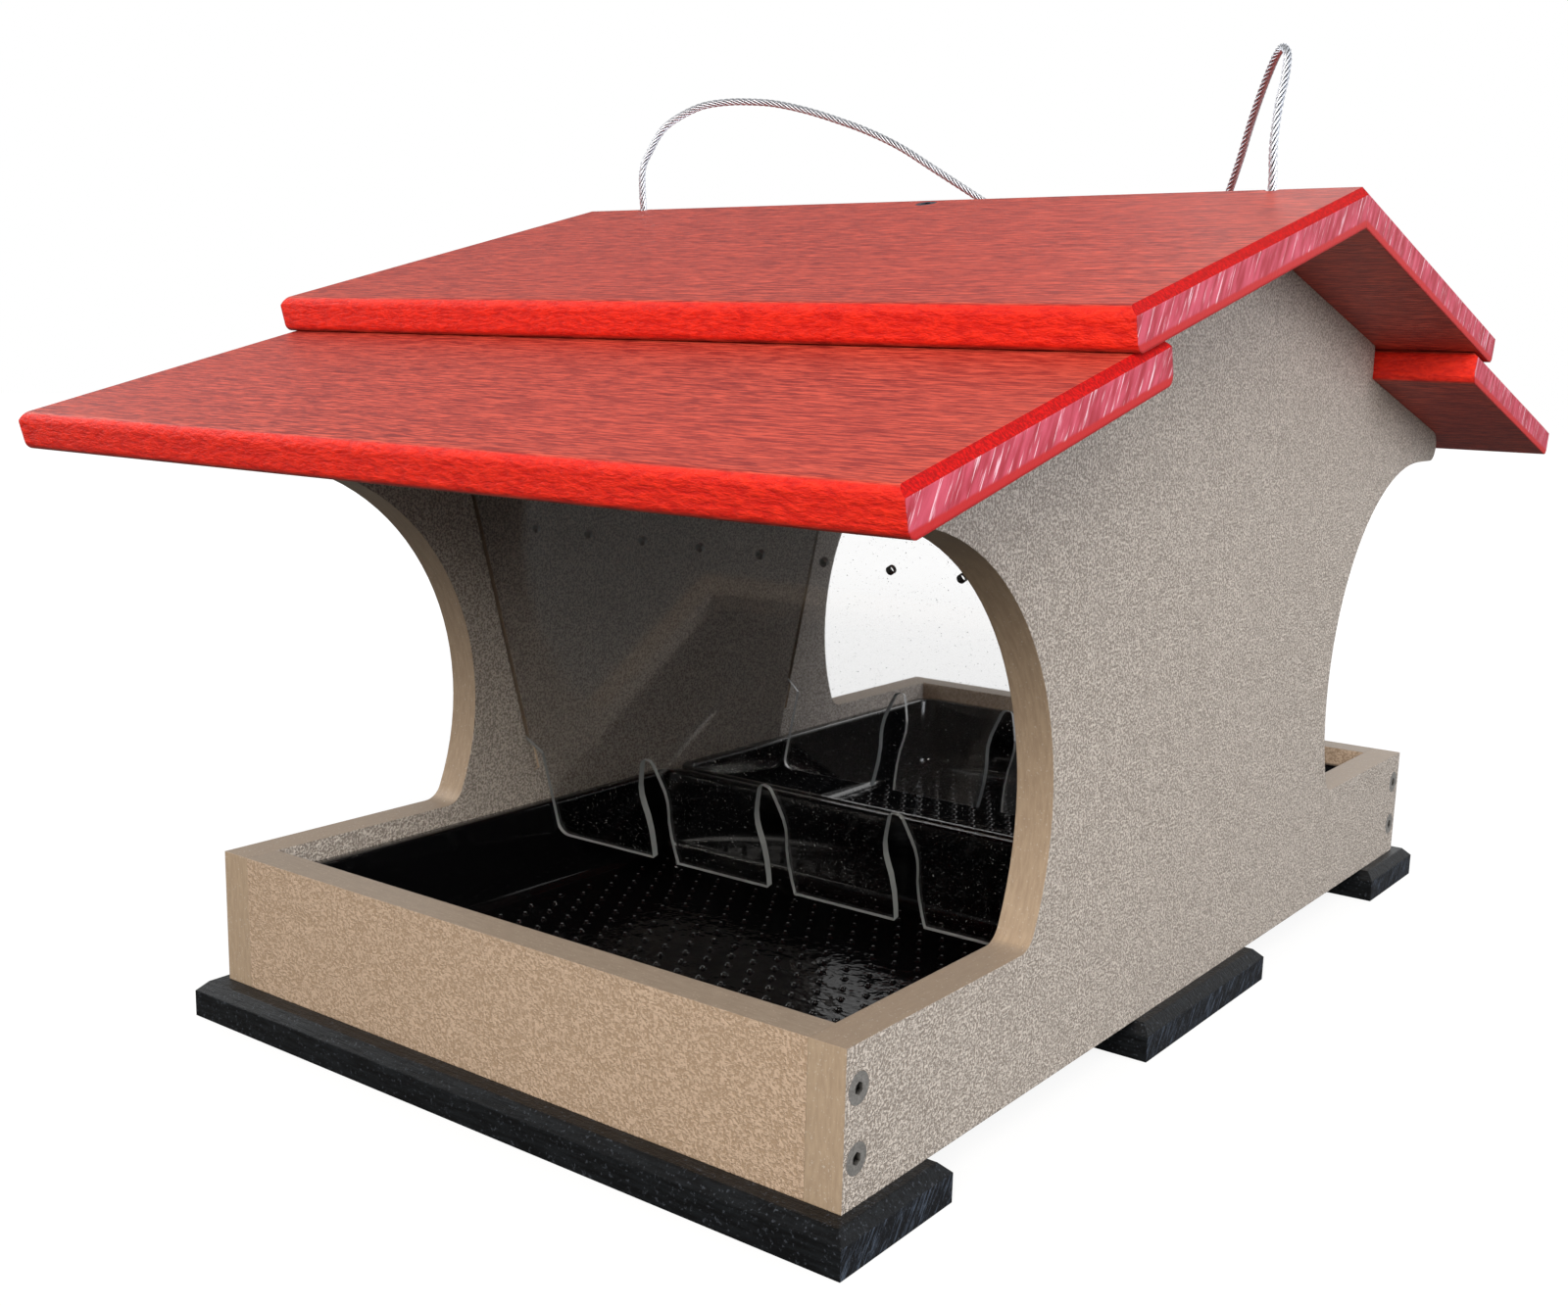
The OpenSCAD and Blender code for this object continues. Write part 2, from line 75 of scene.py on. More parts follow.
CABLE_MM = (
    (-141, 0, 283.3), (-141, 0, 290), (-141, -0.4, 296.5), (-141.2, -1, 303), (-142, 0, 313.5),
    (-141.5, 4, 321), (-139.8, 10, 330.3), (-135, 16, 336.4), (-127.4, 22, 341), (-119, 28, 342.8),
    (-110.7, 33, 343.1), (-101, 39, 342.5), (-88.4, 45, 339.7), (-76, 51, 335.7), (-63.5, 57, 330.9),
    (-50, 62, 324.3), (-37, 67, 316), (-24, 73, 307.4), (-10, 80, 298), (5, 87, 288), (20, 93, 279.2),
    (36, 97, 273.4), (53, 98, 272.9), (68, 94, 276.8), (80, 85.5, 284), (90, 75.5, 293.4), (99, 64, 304),
    (106, 55, 314), (112.6, 46, 324.2), (119.4, 37, 333.3), (124.6, 30, 339), (129.8, 23, 343.6),
    (134, 17.5, 344.9), (137.8, 12.5, 341.9), (139.3, 8.5, 334.5), (139.6, 4.5, 326), (139.9, 1.5, 316.5),
    (140.4, 0, 308), (140.9, 0, 301), (141, 0, 292), (141, 0, 283.3),
)
TAIL_MM = (
    (121.5, 0, 264.7), (126, 0, 264.7), (130.5, 0, 264.7), (134.3, 0, 265), (137.3, 0, 266.6),
    (139.6, 0, 269.5), (140.8, 0, 273.4), (141, 0, 277.9), (141, 0, 283.1),
)
CABLE_D = 3.0 * MM
BOARD_IOR = 1.54

Socket = bpy.types.NodeSocket


class Axis(Enum):
    """The direction that a board's skin faces away from, or that its grain runs along."""

    X = 0
    Y = 1
    Z = 2


def srgb(text: str, alpha: float = 1.0) -> tuple[float, float, float, float]:
    """Turns an sRGB hex colour into linear values.

    Args:
        text: Six hexadecimal digits.
        alpha: Opacity.

    Returns:
        Linear red, green, blue and alpha.
    """
    out = []
    for i in (0, 2, 4):
        c = int(text[i:i + 2], 16) / 255
        out.append(c / 12.92 if c <= 0.04045 else ((c + 0.055) / 1.055) ** 2.4)
    return (out[0], out[1], out[2], alpha)


@dataclass
class Tree:
    """A node tree with short ways to add to it."""

    tree: bpy.types.NodeTree

    @property
    def nodes(self) -> bpy.types.Nodes:
        """The tree's nodes."""
        return self.tree.nodes

    def join(self, a: Socket, b: Socket) -> None:
        """Links output a to input b."""
        self.tree.links.new(a, b)

    def add(self, kind: str, settings: dict | None = None, links: dict | None = None) -> bpy.types.Node:
        """Adds a node.

        Args:
            kind: The node's type name.
            settings: Attributes by name, or input values by input name or number.
            links: Output sockets by input name or number.

        Returns:
            The node.
        """
        node = self.nodes.new(kind)
        for key, value in (settings or {}).items():
            if isinstance(key, int) or key in node.inputs:
                node.inputs[key].default_value = value
            else:
                setattr(node, key, value)
        for key, value in (links or {}).items():
            self.join(value, node.inputs[key])
        return node

    def math(self, how: str, a: Socket | float, b: Socket | float = 0.0) -> Socket:
        """One sum on sockets or numbers.

        Args:
            how: The operation's name in capitals.
            a: The first value.
            b: The second value, where the operation has one.

        Returns:
            The result.
        """
        settings, links = {"operation": how}, {}
        for i, v in enumerate((a, b)):
            if isinstance(v, Socket):
                links[i] = v
            else:
                settings[i] = v
        return self.add("ShaderNodeMath", settings, links).outputs[0]

    def share(self, value: Socket, part: float) -> Socket:
        """A part of a value, where 1 is all of it."""
        return self.math("MULTIPLY", value, part)

    def rest(self, value: Socket) -> Socket:
        """What a value leaves of 1."""
        return self.math("SUBTRACT", 1.0, value)

    def step(self, value: Socket, low: float, high: float) -> Socket:
        """A smooth step.

        Args:
            value: What is measured.
            low: Where the step starts to rise from 0.
            high: Where it has come to 1.

        Returns:
            The step's height.
        """
        settings = {"interpolation_type": "SMOOTHSTEP", "From Min": low, "From Max": high}
        return self.add("ShaderNodeMapRange", settings, {"Value": value}).outputs["Result"]

    def mix(self, factor: Socket | float, a: Socket | str, b: Socket | str) -> Socket:
        """Mixes two colours.

        Args:
            factor: How much of b there is, 0 to 1.
            a: A colour socket or sRGB hex digits.
            b: Another one.

        Returns:
            The mixed colour.
        """
        node = self.add("ShaderNodeMix", {"data_type": "RGBA"})
        for i, v in ((0, factor), (6, a), (7, b)):
            if isinstance(v, Socket):
                self.join(v, node.inputs[i])
            else:
                node.inputs[i].default_value = srgb(v) if isinstance(v, str) else v
        return node.outputs[2]

    def place(self, size_mm: tuple = (METRE, METRE, METRE), slant: float = 0.0) -> Socket:
        """The part's own coordinates, measured in a pattern's grains.

        Args:
            size_mm: The grain's length along X, Y and Z.
            slant: A turn of the pattern about X, in radians.

        Returns:
            The coordinates.
        """
        coord = self.add("ShaderNodeTexCoord").outputs["Object"]
        size = tuple(v * MM for v in size_mm)
        settings = {"vector_type": "TEXTURE", "Scale": size, "Rotation": (slant, 0.0, 0.0)}
        return self.add("ShaderNodeMapping", settings, {"Vector": coord}).outputs[0]

    def noise(
        self, where: Socket, size_mm: float = METRE, detail: float = 3.0, rough: float = 0.55
    ) -> Socket:
        """Noise on coordinates.

        Args:
            where: Coordinates in metres, or in grains where they are stretched already.
            size_mm: The grain's size, left out where the coordinates are in grains.
            detail: How many finer layers lie on the first.
            rough: How strong each finer layer is.

        Returns:
            A value about 0.5.
        """
        settings = {"Scale": METRE / size_mm, "Detail": detail, "Roughness": rough}
        return self.add("ShaderNodeTexNoise", settings, {"Vector": where}).outputs["Fac"]

    def rounded(self, radius_mm: float) -> Socket:
        """The surface's normal with edges rounded to a radius."""
        return self.add("ShaderNodeBevel", {"samples": 4, "Radius": radius_mm * MM}).outputs[0]

    def normal_part(self, axis: Axis, normal: Socket | None = None) -> Socket:
        """How much the surface faces along an axis of the part.

        Args:
            axis: The axis.
            normal: A normal to use in place of the mesh's own.

        Returns:
            0 for a surface along the axis, 1 for one that faces it.
        """
        if normal is None:
            normal = self.add("ShaderNodeNewGeometry").outputs["True Normal"]
        split = self.add("ShaderNodeSeparateXYZ", links={0: normal})
        return self.math("ABSOLUTE", split.outputs[axis.value])

    def straight_through(self, path: bpy.types.Node) -> Socket:
        """Picks the rays that only passed through glass on their way.

        Args:
            path: The tree's Light Path node.

        Returns:
            1 for such a ray and 0 for others.
        """
        bounces = self.math("ADD", path.outputs["Glossy Depth"], path.outputs["Diffuse Depth"])
        straight = self.math("LESS_THAN", bounces, 0.5)
        return self.math("MULTIPLY", path.outputs["Is Transmission Ray"], straight)

    def bump(self, height: Socket, tall_mm: float, strength: float, after: Socket | None = None) -> Socket:
        """Relief on the surface.

        Args:
            height: A height from 0 to 1.
            tall_mm: What a height of 1 stands for.
            strength: How much of the relief shows.
            after: The normal that it lies on.

        Returns:
            The new normal.
        """
        links = {"Height": height}
        if after is not None:
            links["Normal"] = after
        node = self.add("ShaderNodeBump", {"Strength": strength, "Distance": tall_mm * MM}, links)
        return node.outputs["Normal"]


class Graph(Tree):
    """A material's node tree with one Principled shader."""

    def __init__(self, made: bpy.types.Material) -> None:
        """Clears the material's tree and adds its shader."""
        made.use_nodes = True
        super().__init__(made.node_tree)
        self.material = made
        self.nodes.clear()
        self.shader = self.add("ShaderNodeBsdfPrincipled")
        out = self.add("ShaderNodeOutputMaterial")
        self.join(self.shader.outputs["BSDF"], out.inputs["Surface"])

    def give(self, name: str, value: Socket | float) -> None:
        """Sets or links one of the shader's inputs.

        Args:
            name: The input's name.
            value: A number or an output socket.
        """
        if isinstance(value, Socket):
            self.join(value, self.shader.inputs[name])
        else:
            self.shader.inputs[name].default_value = value


def material(name: str) -> Graph:
    """A new, empty material.

    Args:
        name: Its name: the real material and its surface process.

    Returns:
        Its graph.
    """
    return Graph(bpy.data.materials.new(name))


@dataclass(frozen=True)
class BoardFinish:
    """Recycled polyethylene board: an extruded skin, and cut edges with tool marks.

    The skin is a matt, pebbled mottle of two tones, with pale specks painted in as glints of
    light off the grain. The cut edges are plainer, with fine lines along them; their brown is
    painted warmth of the light from the front, and where they face up it is painted darker, as shade.
    """

    name: str
    skin_dark: str
    skin_light: str
    painted_glint: str
    cut_dark: str
    cut_light: str
    skin_axis: Axis
    painted_upward_shade: str = "85796d"
    grain_mm: float = 0.9
    relief_mm: float = 0.36
    mark_mm: float = 1.111
    mark_run_mm: float = 6.667
    mark_relief_mm: float = 0.10
    edge_mm: float = 0.5
    rough: float = 0.40

    def build(self) -> bpy.types.Material:
        """Makes the material."""
        g = material(self.name)
        skin = g.step(g.normal_part(self.skin_axis), 0.75, 0.95)
        where = g.place()
        grain = g.noise(where, self.grain_mm, 2.0, 0.6)
        blotch = g.noise(where, 3.0 * self.grain_mm, 1.0)
        tone = g.step(g.math("ADD", g.share(grain, 0.85), g.share(blotch, 0.15)), 0.40, 0.62)
        colour = g.mix(tone, self.skin_dark, self.skin_light)
        # Painted glints: pale specks laid into the colour as light catching the grain.
        painted_glint = g.step(g.noise(where, 0.8 * self.grain_mm, 1.0), 0.66, 0.74)
        colour = g.mix(g.share(painted_glint, 0.5), colour, self.painted_glint)
        squeeze = [self.mark_run_mm] * 3
        squeeze[self.skin_axis.value] = self.mark_mm
        marks = g.noise(g.place(tuple(squeeze)), METRE, 3.0, 0.6)
        cut = g.mix(g.step(marks, 0.3, 0.72), self.cut_dark, self.cut_light)
        # Painted shade: cut faces that face up are mixed towards a darker, duller colour.
        upward_shade_mask = g.share(g.step(g.normal_part(Axis.Z), 0.8, 0.95), 0.5)
        cut = g.mix(upward_shade_mask, cut, self.painted_upward_shade)
        # The same painted glints on the cut faces.
        cut = g.mix(g.share(painted_glint, 0.4), cut, self.painted_glint)
        g.give("Base Color", g.mix(skin, cut, colour))
        g.give("Roughness", g.math("ADD", g.share(marks, 0.15), self.rough))
        peel = g.bump(g.math("MULTIPLY", skin, tone), self.relief_mm, 0.8, g.rounded(self.edge_mm))
        g.give("Normal", g.bump(g.math("MULTIPLY", g.rest(skin), marks), self.mark_relief_mm, 0.5, peel))
        g.give("IOR", BOARD_IOR)
        return g.material


@dataclass(frozen=True)
class RoofFinish:
    """Red recycled polyethylene board, extruded, with planed bevels and sawn ends.

    The skin is matt with fine streaks along the board. The long edges are brighter and rough
    like bark, the planed bevels deep red, and the sawn ends pink with slanting white scratches.
    """

    name: str = "recycled polyethylene board, red, extruded and sawn"
    top_dark: str = "800e08"
    top_light: str = "d4503a"
    top_cloud: str = "b43020"
    edge_dark: str = "d01206"
    edge_light: str = "fa2e14"
    planed_dark: str = "8e0203"
    planed_light: str = "c00a08"
    sawn_dark: str = "9c162a"
    sawn_light: str = "c44a60"
    scratched: str = "f2d0da"
    under_edge_shade: str = "b4060a"
    streak_mm: tuple = (13.333, 0.8, 0.8)
    fine_mm: tuple = (5.0, 0.5263, 0.5263)
    cloud_mm: float = 111.11
    bark_mm: tuple = (4.762, 1.613, 1.613)
    scratch_mm: tuple = (METRE, 1.111, 16.667)
    smear_mm: tuple = (METRE, 3.03, 14.286)
    slant: float = -0.45
    edge_mm: float = 1.2
    skin_relief_mm: float = 0.35
    bark_relief_mm: float = 1.3
    scratch_relief_mm: float = 0.25

    def build(self) -> bpy.types.Material:
        """Makes the material."""
        g = material(self.name)
        soft = g.rounded(self.edge_mm)
        nx, nz = g.normal_part(Axis.X), g.normal_part(Axis.Z, soft)
        end = g.step(nx, 0.9, 0.98)
        bevel = g.math("MULTIPLY", g.step(nx, 0.2, 0.5), g.rest(end))
        skin = g.math("MULTIPLY", g.step(nz, 0.62, 0.88), g.rest(bevel))
        streak = g.noise(g.place(self.streak_mm), METRE, 4.0, 0.62)
        fine = g.noise(g.place(self.fine_mm), METRE, 2.0, 0.6)
        cloud = g.noise(g.place(), self.cloud_mm, 3.0)
        tone = g.math("ADD", g.share(streak, 0.6), g.share(fine, 0.4))
        top = g.mix(g.step(tone, 0.42, 0.60), self.top_dark, self.top_light)
        top = g.mix(g.share(g.step(cloud, 0.35, 0.7), 0.2), top, self.top_cloud)
        bark = g.noise(g.place(self.bark_mm), METRE, 5.0, 0.68)
        side = g.mix(g.step(bark, 0.3, 0.7), self.edge_dark, self.edge_light)
        planed = g.mix(g.step(tone, 0.42, 0.60), self.planed_dark, self.planed_light)
        side = g.mix(bevel, side, planed)
        scratch = g.noise(g.place(self.scratch_mm, self.slant), METRE, 3.0, 0.65)
        smear = g.noise(g.place(self.smear_mm, self.slant), METRE, 2.0)
        sawn = g.mix(g.step(smear, 0.3, 0.7), self.sawn_dark, self.sawn_light)
        sawn = g.mix(g.share(g.step(scratch, 0.57, 0.69), 0.8), sawn, self.scratched)
        # Painted shade: a darker red strip along the under edge of each sawn end.
        sawn = g.mix(self.rim(g, smear), sawn, self.under_edge_shade)
        g.give("Base Color", g.mix(skin, g.mix(end, side, sawn), top))
        rough = g.math("ADD", 0.47, g.share(bevel, 0.2))
        g.give("Roughness", g.math("ADD", rough, g.share(tone, 0.12)))
        shine = g.math("ADD", 0.28, g.share(g.math("MAXIMUM", skin, end), 0.22))
        g.give("Specular IOR Level", g.math("SUBTRACT", shine, g.share(bevel, 0.14)))
        lay = g.bump(g.math("MULTIPLY", skin, tone), self.skin_relief_mm, 0.7, soft)
        smooth = g.math("MAXIMUM", skin, g.math("MAXIMUM", end, bevel))
        lay = g.bump(g.math("MULTIPLY", bark, g.rest(smooth)), self.bark_relief_mm, 0.9, lay)
        g.give("Normal", g.bump(g.math("MULTIPLY", scratch, end), self.scratch_relief_mm, 0.5, lay))
        g.give("IOR", BOARD_IOR)
        return g.material

    def rim(self, g: Graph, waver: Socket) -> Socket:
        """The strip along the under edge of a sawn end: painted shade, the dark red of the board's
        rounded under corner in shadow.

        Args:
            g: The material's graph.
            waver: A noise value that makes the strip's edge uneven.

        Returns:
            1 on the strip and 0 off it.
        """
        at = g.add("ShaderNodeSeparateXYZ", links={0: g.place()})
        fall = g.share(g.math("ABSOLUTE", at.outputs[1]), math.tan(PITCH))
        below = g.math("SUBTRACT", g.math("SUBTRACT", RIDGE_Z, fall), at.outputs[2])
        depth = g.math("FRACT", g.share(below, math.cos(PITCH) / BOARD_T))
        return g.step(g.math("ADD", depth, g.share(waver, 0.08)), 0.80, 0.88)


@dataclass(frozen=True)
class SlatFinish:
    """Charcoal recycled polyethylene board, extruded, with sawn ends.

    Nearly black and matt, with faint streaks and pale specks, and slanting grey scratches on
    the ends, whose pale bluish tone is painted highlight along the sawn grain.
    """

    name: str = "recycled polyethylene board, charcoal, extruded and sawn"
    dark: str = "07080a"
    light: str = "15181b"
    sawn_dark: str = "0c0e12"
    sawn_light: str = "424b58"
    speck: str = "454a52"
    streak_mm: tuple = (11.111, 1.4286, 1.4286)
    scratch_mm: tuple = (METRE, 1.111, 9.091)
    slant: float = -0.6
    grain_mm: float = 1.111
    edge_mm: float = 1.0
    relief_mm: float = 0.3
    shine: float = 0.2

    def build(self) -> bpy.types.Material:
        """Makes the material."""
        g = material(self.name)
        end = g.step(g.normal_part(Axis.X), 0.86, 0.95)
        flat = g.step(g.normal_part(Axis.Z), 0.9, 0.98)
        streak = g.noise(g.place(self.streak_mm), METRE, 4.0, 0.62)
        scratch = g.noise(g.place(self.scratch_mm, self.slant), METRE, 4.0, 0.7)
        grain = g.noise(g.place(), self.grain_mm, 3.0, 0.6)
        colour = g.mix(g.step(streak, 0.35, 0.7), self.dark, self.light)
        # Sawn ends: real slanting scratches, painted pale bluish as highlights.
        sawn = g.mix(g.step(scratch, 0.48, 0.68), self.sawn_dark, self.sawn_light)
        colour = g.mix(end, colour, sawn)
        g.give("Base Color", g.mix(g.share(g.step(grain, 0.58, 0.70), 0.6), colour, self.speck))
        g.give("Specular IOR Level", self.shine)
        g.give("Roughness", g.math("ADD", 0.30, g.share(grain, 0.2)))
        lay = g.math("ADD", streak, g.math("MULTIPLY", flat, grain))
        lay = g.bump(lay, self.relief_mm, 0.7, g.rounded(self.edge_mm))
        g.give("Normal", g.bump(g.math("MULTIPLY", scratch, end), self.relief_mm, 0.6, lay))
        g.give("IOR", BOARD_IOR)
        return g.material


@dataclass(frozen=True)
class TrayFinish:
    """High-impact polystyrene, vacuum formed: black and wet-looking, with a little dust; in pale greys it
    makes the painted glints on the dimples' tips.

    The floor has soft ripples between its dimples, which break up what it mirrors.
    """

    name: str = "high-impact polystyrene, black, vacuum formed"
    base: str = "070708"
    dust_and_glint: str = "5a5a58"
    rough: float = 0.04
    dust_mm: float = 0.76923
    cloud_mm: float = 40.0
    ripple_mm: float = 7.6923
    ripple_relief_mm: float = 0.9

    def build(self) -> bpy.types.Material:
        """Makes the material."""
        g = material(self.name)
        where = g.place()
        dust_and_glint = g.step(g.noise(where, self.dust_mm, 2.0, 0.7), 0.68, 0.78)
        g.give("Base Color", g.mix(g.share(dust_and_glint, 0.5), self.base, self.dust_and_glint))
        cloud = g.noise(where, self.cloud_mm, 3.0)
        g.give("Roughness", g.math("ADD", self.rough, g.share(cloud, 0.08)))
        bottom = g.step(g.normal_part(Axis.Z), 0.94, 0.99)
        ripple = g.math("MULTIPLY", g.noise(where, self.ripple_mm, 2.0), bottom)
        g.give("Normal", g.bump(ripple, self.ripple_relief_mm, 0.5))
        g.give("IOR", 1.55)
        return g.material


@dataclass(frozen=True)
class ClearFinish:
    """Clear acrylic sheet, router cut.

    The faces are see-through with a few specks, and the cut edges are frosted, so that the
    seed slots show as pale lines.
    """

    name: str = "acrylic sheet, clear, router cut"
    clear: str = "ffffff"
    frosted: str = "b4b9b7"
    speck_mm: float = 0.71429
    shine: float = 0.3

    def build(self) -> bpy.types.Material:
        """Makes the material."""
        g = material(self.name)
        face = g.add("ShaderNodeNewGeometry")
        split = g.add("ShaderNodeSeparateXYZ", links={0: face.outputs["True Normal"]})
        ny = g.share(g.math("ABSOLUTE", split.outputs[1]), math.cos(TILT))
        nz = g.share(g.math("ABSOLUTE", split.outputs[2]), math.sin(TILT))
        edge = g.rest(g.step(g.math("ADD", ny, nz), 0.7, 0.9))
        speck = g.step(g.noise(g.place(), self.speck_mm, 1.0), 0.74, 0.78)
        g.give("Base Color", g.mix(g.math("MAXIMUM", edge, speck), self.clear, self.frosted))
        g.give("Roughness", g.math("ADD", 0.02, g.share(edge, 0.35)))
        hazy = g.math("MAXIMUM", g.share(edge, 0.6), g.share(speck, 0.7))
        g.give("Transmission Weight", g.rest(hazy))
        g.give("IOR", 1.49)
        g.give("Specular IOR Level", self.shine)
        return g.material


@dataclass(frozen=True)
class SteelFinish:
    """Bare metal: satin screws and wires, painted dark in every recess as shade."""

    name: str
    light: str
    dark: str
    rough: float
    wear_mm: float = 0.625
    wear_relief_mm: float = 0.03
    painted_recess_shade: str = "2a2826"
    recess_mm: float = 2.0

    def build(self) -> bpy.types.Material:
        """Makes the material."""
        g = material(self.name)
        wear = g.noise(g.place(), self.wear_mm, 3.0, 0.6)
        # Painted shade: ambient occlusion darkens the colour in sockets, between strands and in other
        # recesses.
        reach = {"samples": 6, "Distance": self.recess_mm * MM}
        open_air = g.add("ShaderNodeAmbientOcclusion", reach).outputs["AO"]
        colour = g.mix(g.step(wear, 0.3, 0.7), self.dark, self.light)
        g.give("Base Color", g.mix(g.step(open_air, 0.45, 0.95), self.painted_recess_shade, colour))
        g.give("Roughness", g.math("ADD", self.rough, g.share(wear, 0.15)))
        g.give("Normal", g.bump(wear, self.wear_relief_mm, 0.4))
        g.give("Metallic", 1.0)
        return g.material


def mesh_object(
    name: str, bm: bmesh.types.BMesh, finish: bpy.types.Material, smooth: bool = True
) -> bpy.types.Object:
    """Turns a bmesh into a linked object.

    Args:
        name: The piece's name.
        bm: Its geometry, freed here.
        finish: Its material.
        smooth: Whether its faces are shaded smooth.

    Returns:
        The object.
    """
    bmesh.ops.recalc_face_normals(bm, faces=bm.faces)
    mesh = bpy.data.meshes.new(name)
    bm.to_mesh(mesh)
    bm.free()
    for p in mesh.polygons:
        p.use_smooth = smooth
    mesh.materials.append(finish)
    obj = bpy.data.objects.new(name, mesh)
    bpy.context.scene.collection.objects.link(obj)
    return obj


@dataclass(frozen=True)
class Lamp:
    """One soft, round area lamp."""

    name: str
    where: tuple[float, float, float]
    target: tuple[float, float, float]
    size: float
    watts: float
    tint: str = "ffffff"

    def build(self) -> None:
        """Makes the lamp, turned to its target."""
        data = bpy.data.lights.new(self.name, "AREA")
        data.shape, data.size, data.energy = "DISK", self.size, self.watts
        data.color = srgb(self.tint)[:3]
        obj = bpy.data.objects.new(self.name, data)
        obj.location = self.where
        aim = Vector(self.target) - Vector(self.where)
        obj.rotation_euler = aim.to_track_quat("-Z", "Y").to_euler()
        bpy.context.scene.collection.objects.link(obj)


@dataclass
class Studio:
    """Camera, lights, floor and backdrop."""

    eye: tuple[float, float, float] = (0.37211, -0.57683, 0.24111)
    turn: tuple[float, float, float] = (1.37722, -0.026212, 0.641847)
    focal_px: float = 1753.95
    centre_px: tuple[float, float] = (808.75, 694.44)
    size_px: tuple[float, float] = (1600.0, 1333.0)
    sky_top: float = 0.42
    sky_low: float = 0.02
    room_glow: float = 0.75
    room_dark: float = 0.63
    glass_view: float = 1.2
    floor_colour: str = "5e5e5d"
    floor_rough: float = 0.8
    floor_glow: float = 0.88
    floor_radius: float = 6.0
    floor_drop: float = 0.0002
    lamps: tuple[Lamp, ...] = (
        Lamp("key", (1.0, -1.75, 1.2), (0, 0, 0.1), 1.5, 58.0, "fffaf3"),
        Lamp("fill", (2.1, 0.3, 0.75), (0, 0, 0.12), 1.4, 32.0, "f5f8ff"),
        Lamp("left", (-2.1, -0.3, 0.9), (0, 0, 0.12), 1.4, 18.0),
        Lamp("rim", (-0.2, 2.1, 1.4), (0, 0, 0.15), 1.4, 9.0),
    )

    def camera(self) -> None:
        """Makes the camera at the photograph's place and view angle."""
        data = bpy.data.cameras.new("camera")
        w, h = self.size_px
        data.sensor_width = 36.0
        data.lens = 36.0 * self.focal_px / w
        data.shift_x = (w / 2 - self.centre_px[0]) / w
        data.shift_y = (self.centre_px[1] - h / 2) / w
        data.clip_start, data.clip_end = 0.01, 50.0
        cam = bpy.data.objects.new("camera", data)
        cam.location = self.eye
        cam.rotation_euler = Euler(self.turn, "XYZ")
        bpy.context.scene.collection.objects.link(cam)
        bpy.context.scene.camera = cam

    def world(self) -> None:
        """White behind the object, a grey ceiling above it and a dim room behind the camera."""
        world = bpy.data.worlds.new("soft sky")
        bpy.context.scene.world = world
        world.use_nodes = True
        g = Tree(world.node_tree)
        back = g.nodes["Background"]
        path = g.add("ShaderNodeLightPath")
        coord = g.add("ShaderNodeTexCoord")
        split = g.add("ShaderNodeSeparateXYZ", links={0: coord.outputs["Generated"]})
        # What shines in the object: bright at the sides, darker above and behind the camera.
        behind = g.step(g.share(split.outputs[1], -1.0), 0.0, 0.6)
        ceiling = g.step(split.outputs[2], 0.15, 0.5)
        room = g.math("SUBTRACT", self.room_glow, g.share(behind, self.room_dark))
        shown = g.math("MULTIPLY", g.rest(g.share(ceiling, 0.5)), room)
        shown = g.math("MULTIPLY", shown, path.outputs["Is Glossy Ray"])
        # What lights it: a soft sky, also for rays that left a matt surface and met a window.
        scattered = g.math("GREATER_THAN", path.outputs["Diffuse Depth"], 0.5)
        scattered = g.math("MULTIPLY", path.outputs["Is Transmission Ray"], scattered)
        scattered = g.math("MAXIMUM", path.outputs["Is Diffuse Ray"], scattered)
        high = g.share(g.step(split.outputs[2], -0.1, 0.9), self.sky_top - self.sky_low)
        soft = g.math("MULTIPLY", g.math("ADD", high, self.sky_low), scattered)
        # What the camera sees, directly or through the windows: white.
        clear = g.share(g.straight_through(path), self.glass_view)
        seen = g.math("MAXIMUM", clear, path.outputs["Is Camera Ray"])
        level = g.math("MAXIMUM", g.math("MAXIMUM", soft, shown), seen)
        g.join(level, back.inputs["Strength"])
        back.inputs["Color"].default_value = (1, 1, 1, 1)

    def floor(self) -> None:
        """A plain pale floor whose far part fades into the white behind."""
        bm = bmesh.new()
        bmesh.ops.create_circle(bm, cap_ends=True, segments=64, radius=self.floor_radius)
        g = material("painted board, white, matt")
        path = g.add("ShaderNodeLightPath")
        g.give("Base Color", srgb(self.floor_colour))
        g.give("Roughness", self.floor_rough)
        seen = g.math("MAXIMUM", path.outputs["Is Camera Ray"], g.straight_through(path))
        split = g.add("ShaderNodeSeparateXYZ", links={0: g.place()})
        x_part, y_part = (g.math("POWER", split.outputs[i], 2.0) for i in (0, 1))
        far = g.step(g.math("ADD", x_part, y_part), 0.2, 1.6)
        glow = g.math("ADD", g.share(far, 1.0 - self.floor_glow), self.floor_glow)
        g.give("Emission Color", (1, 1, 1, 1))
        g.give("Emission Strength", g.math("MULTIPLY", seen, glow))
        obj = mesh_object("floor", bm, g.material, False)
        obj.location.z = -self.floor_drop
        obj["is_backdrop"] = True

    def build(self) -> None:
        """Makes the lights and the floor."""
        self.world()
        self.floor()
        for lamp in self.lamps:
            lamp.build()
        bpy.context.scene.view_settings.view_transform = "Standard"


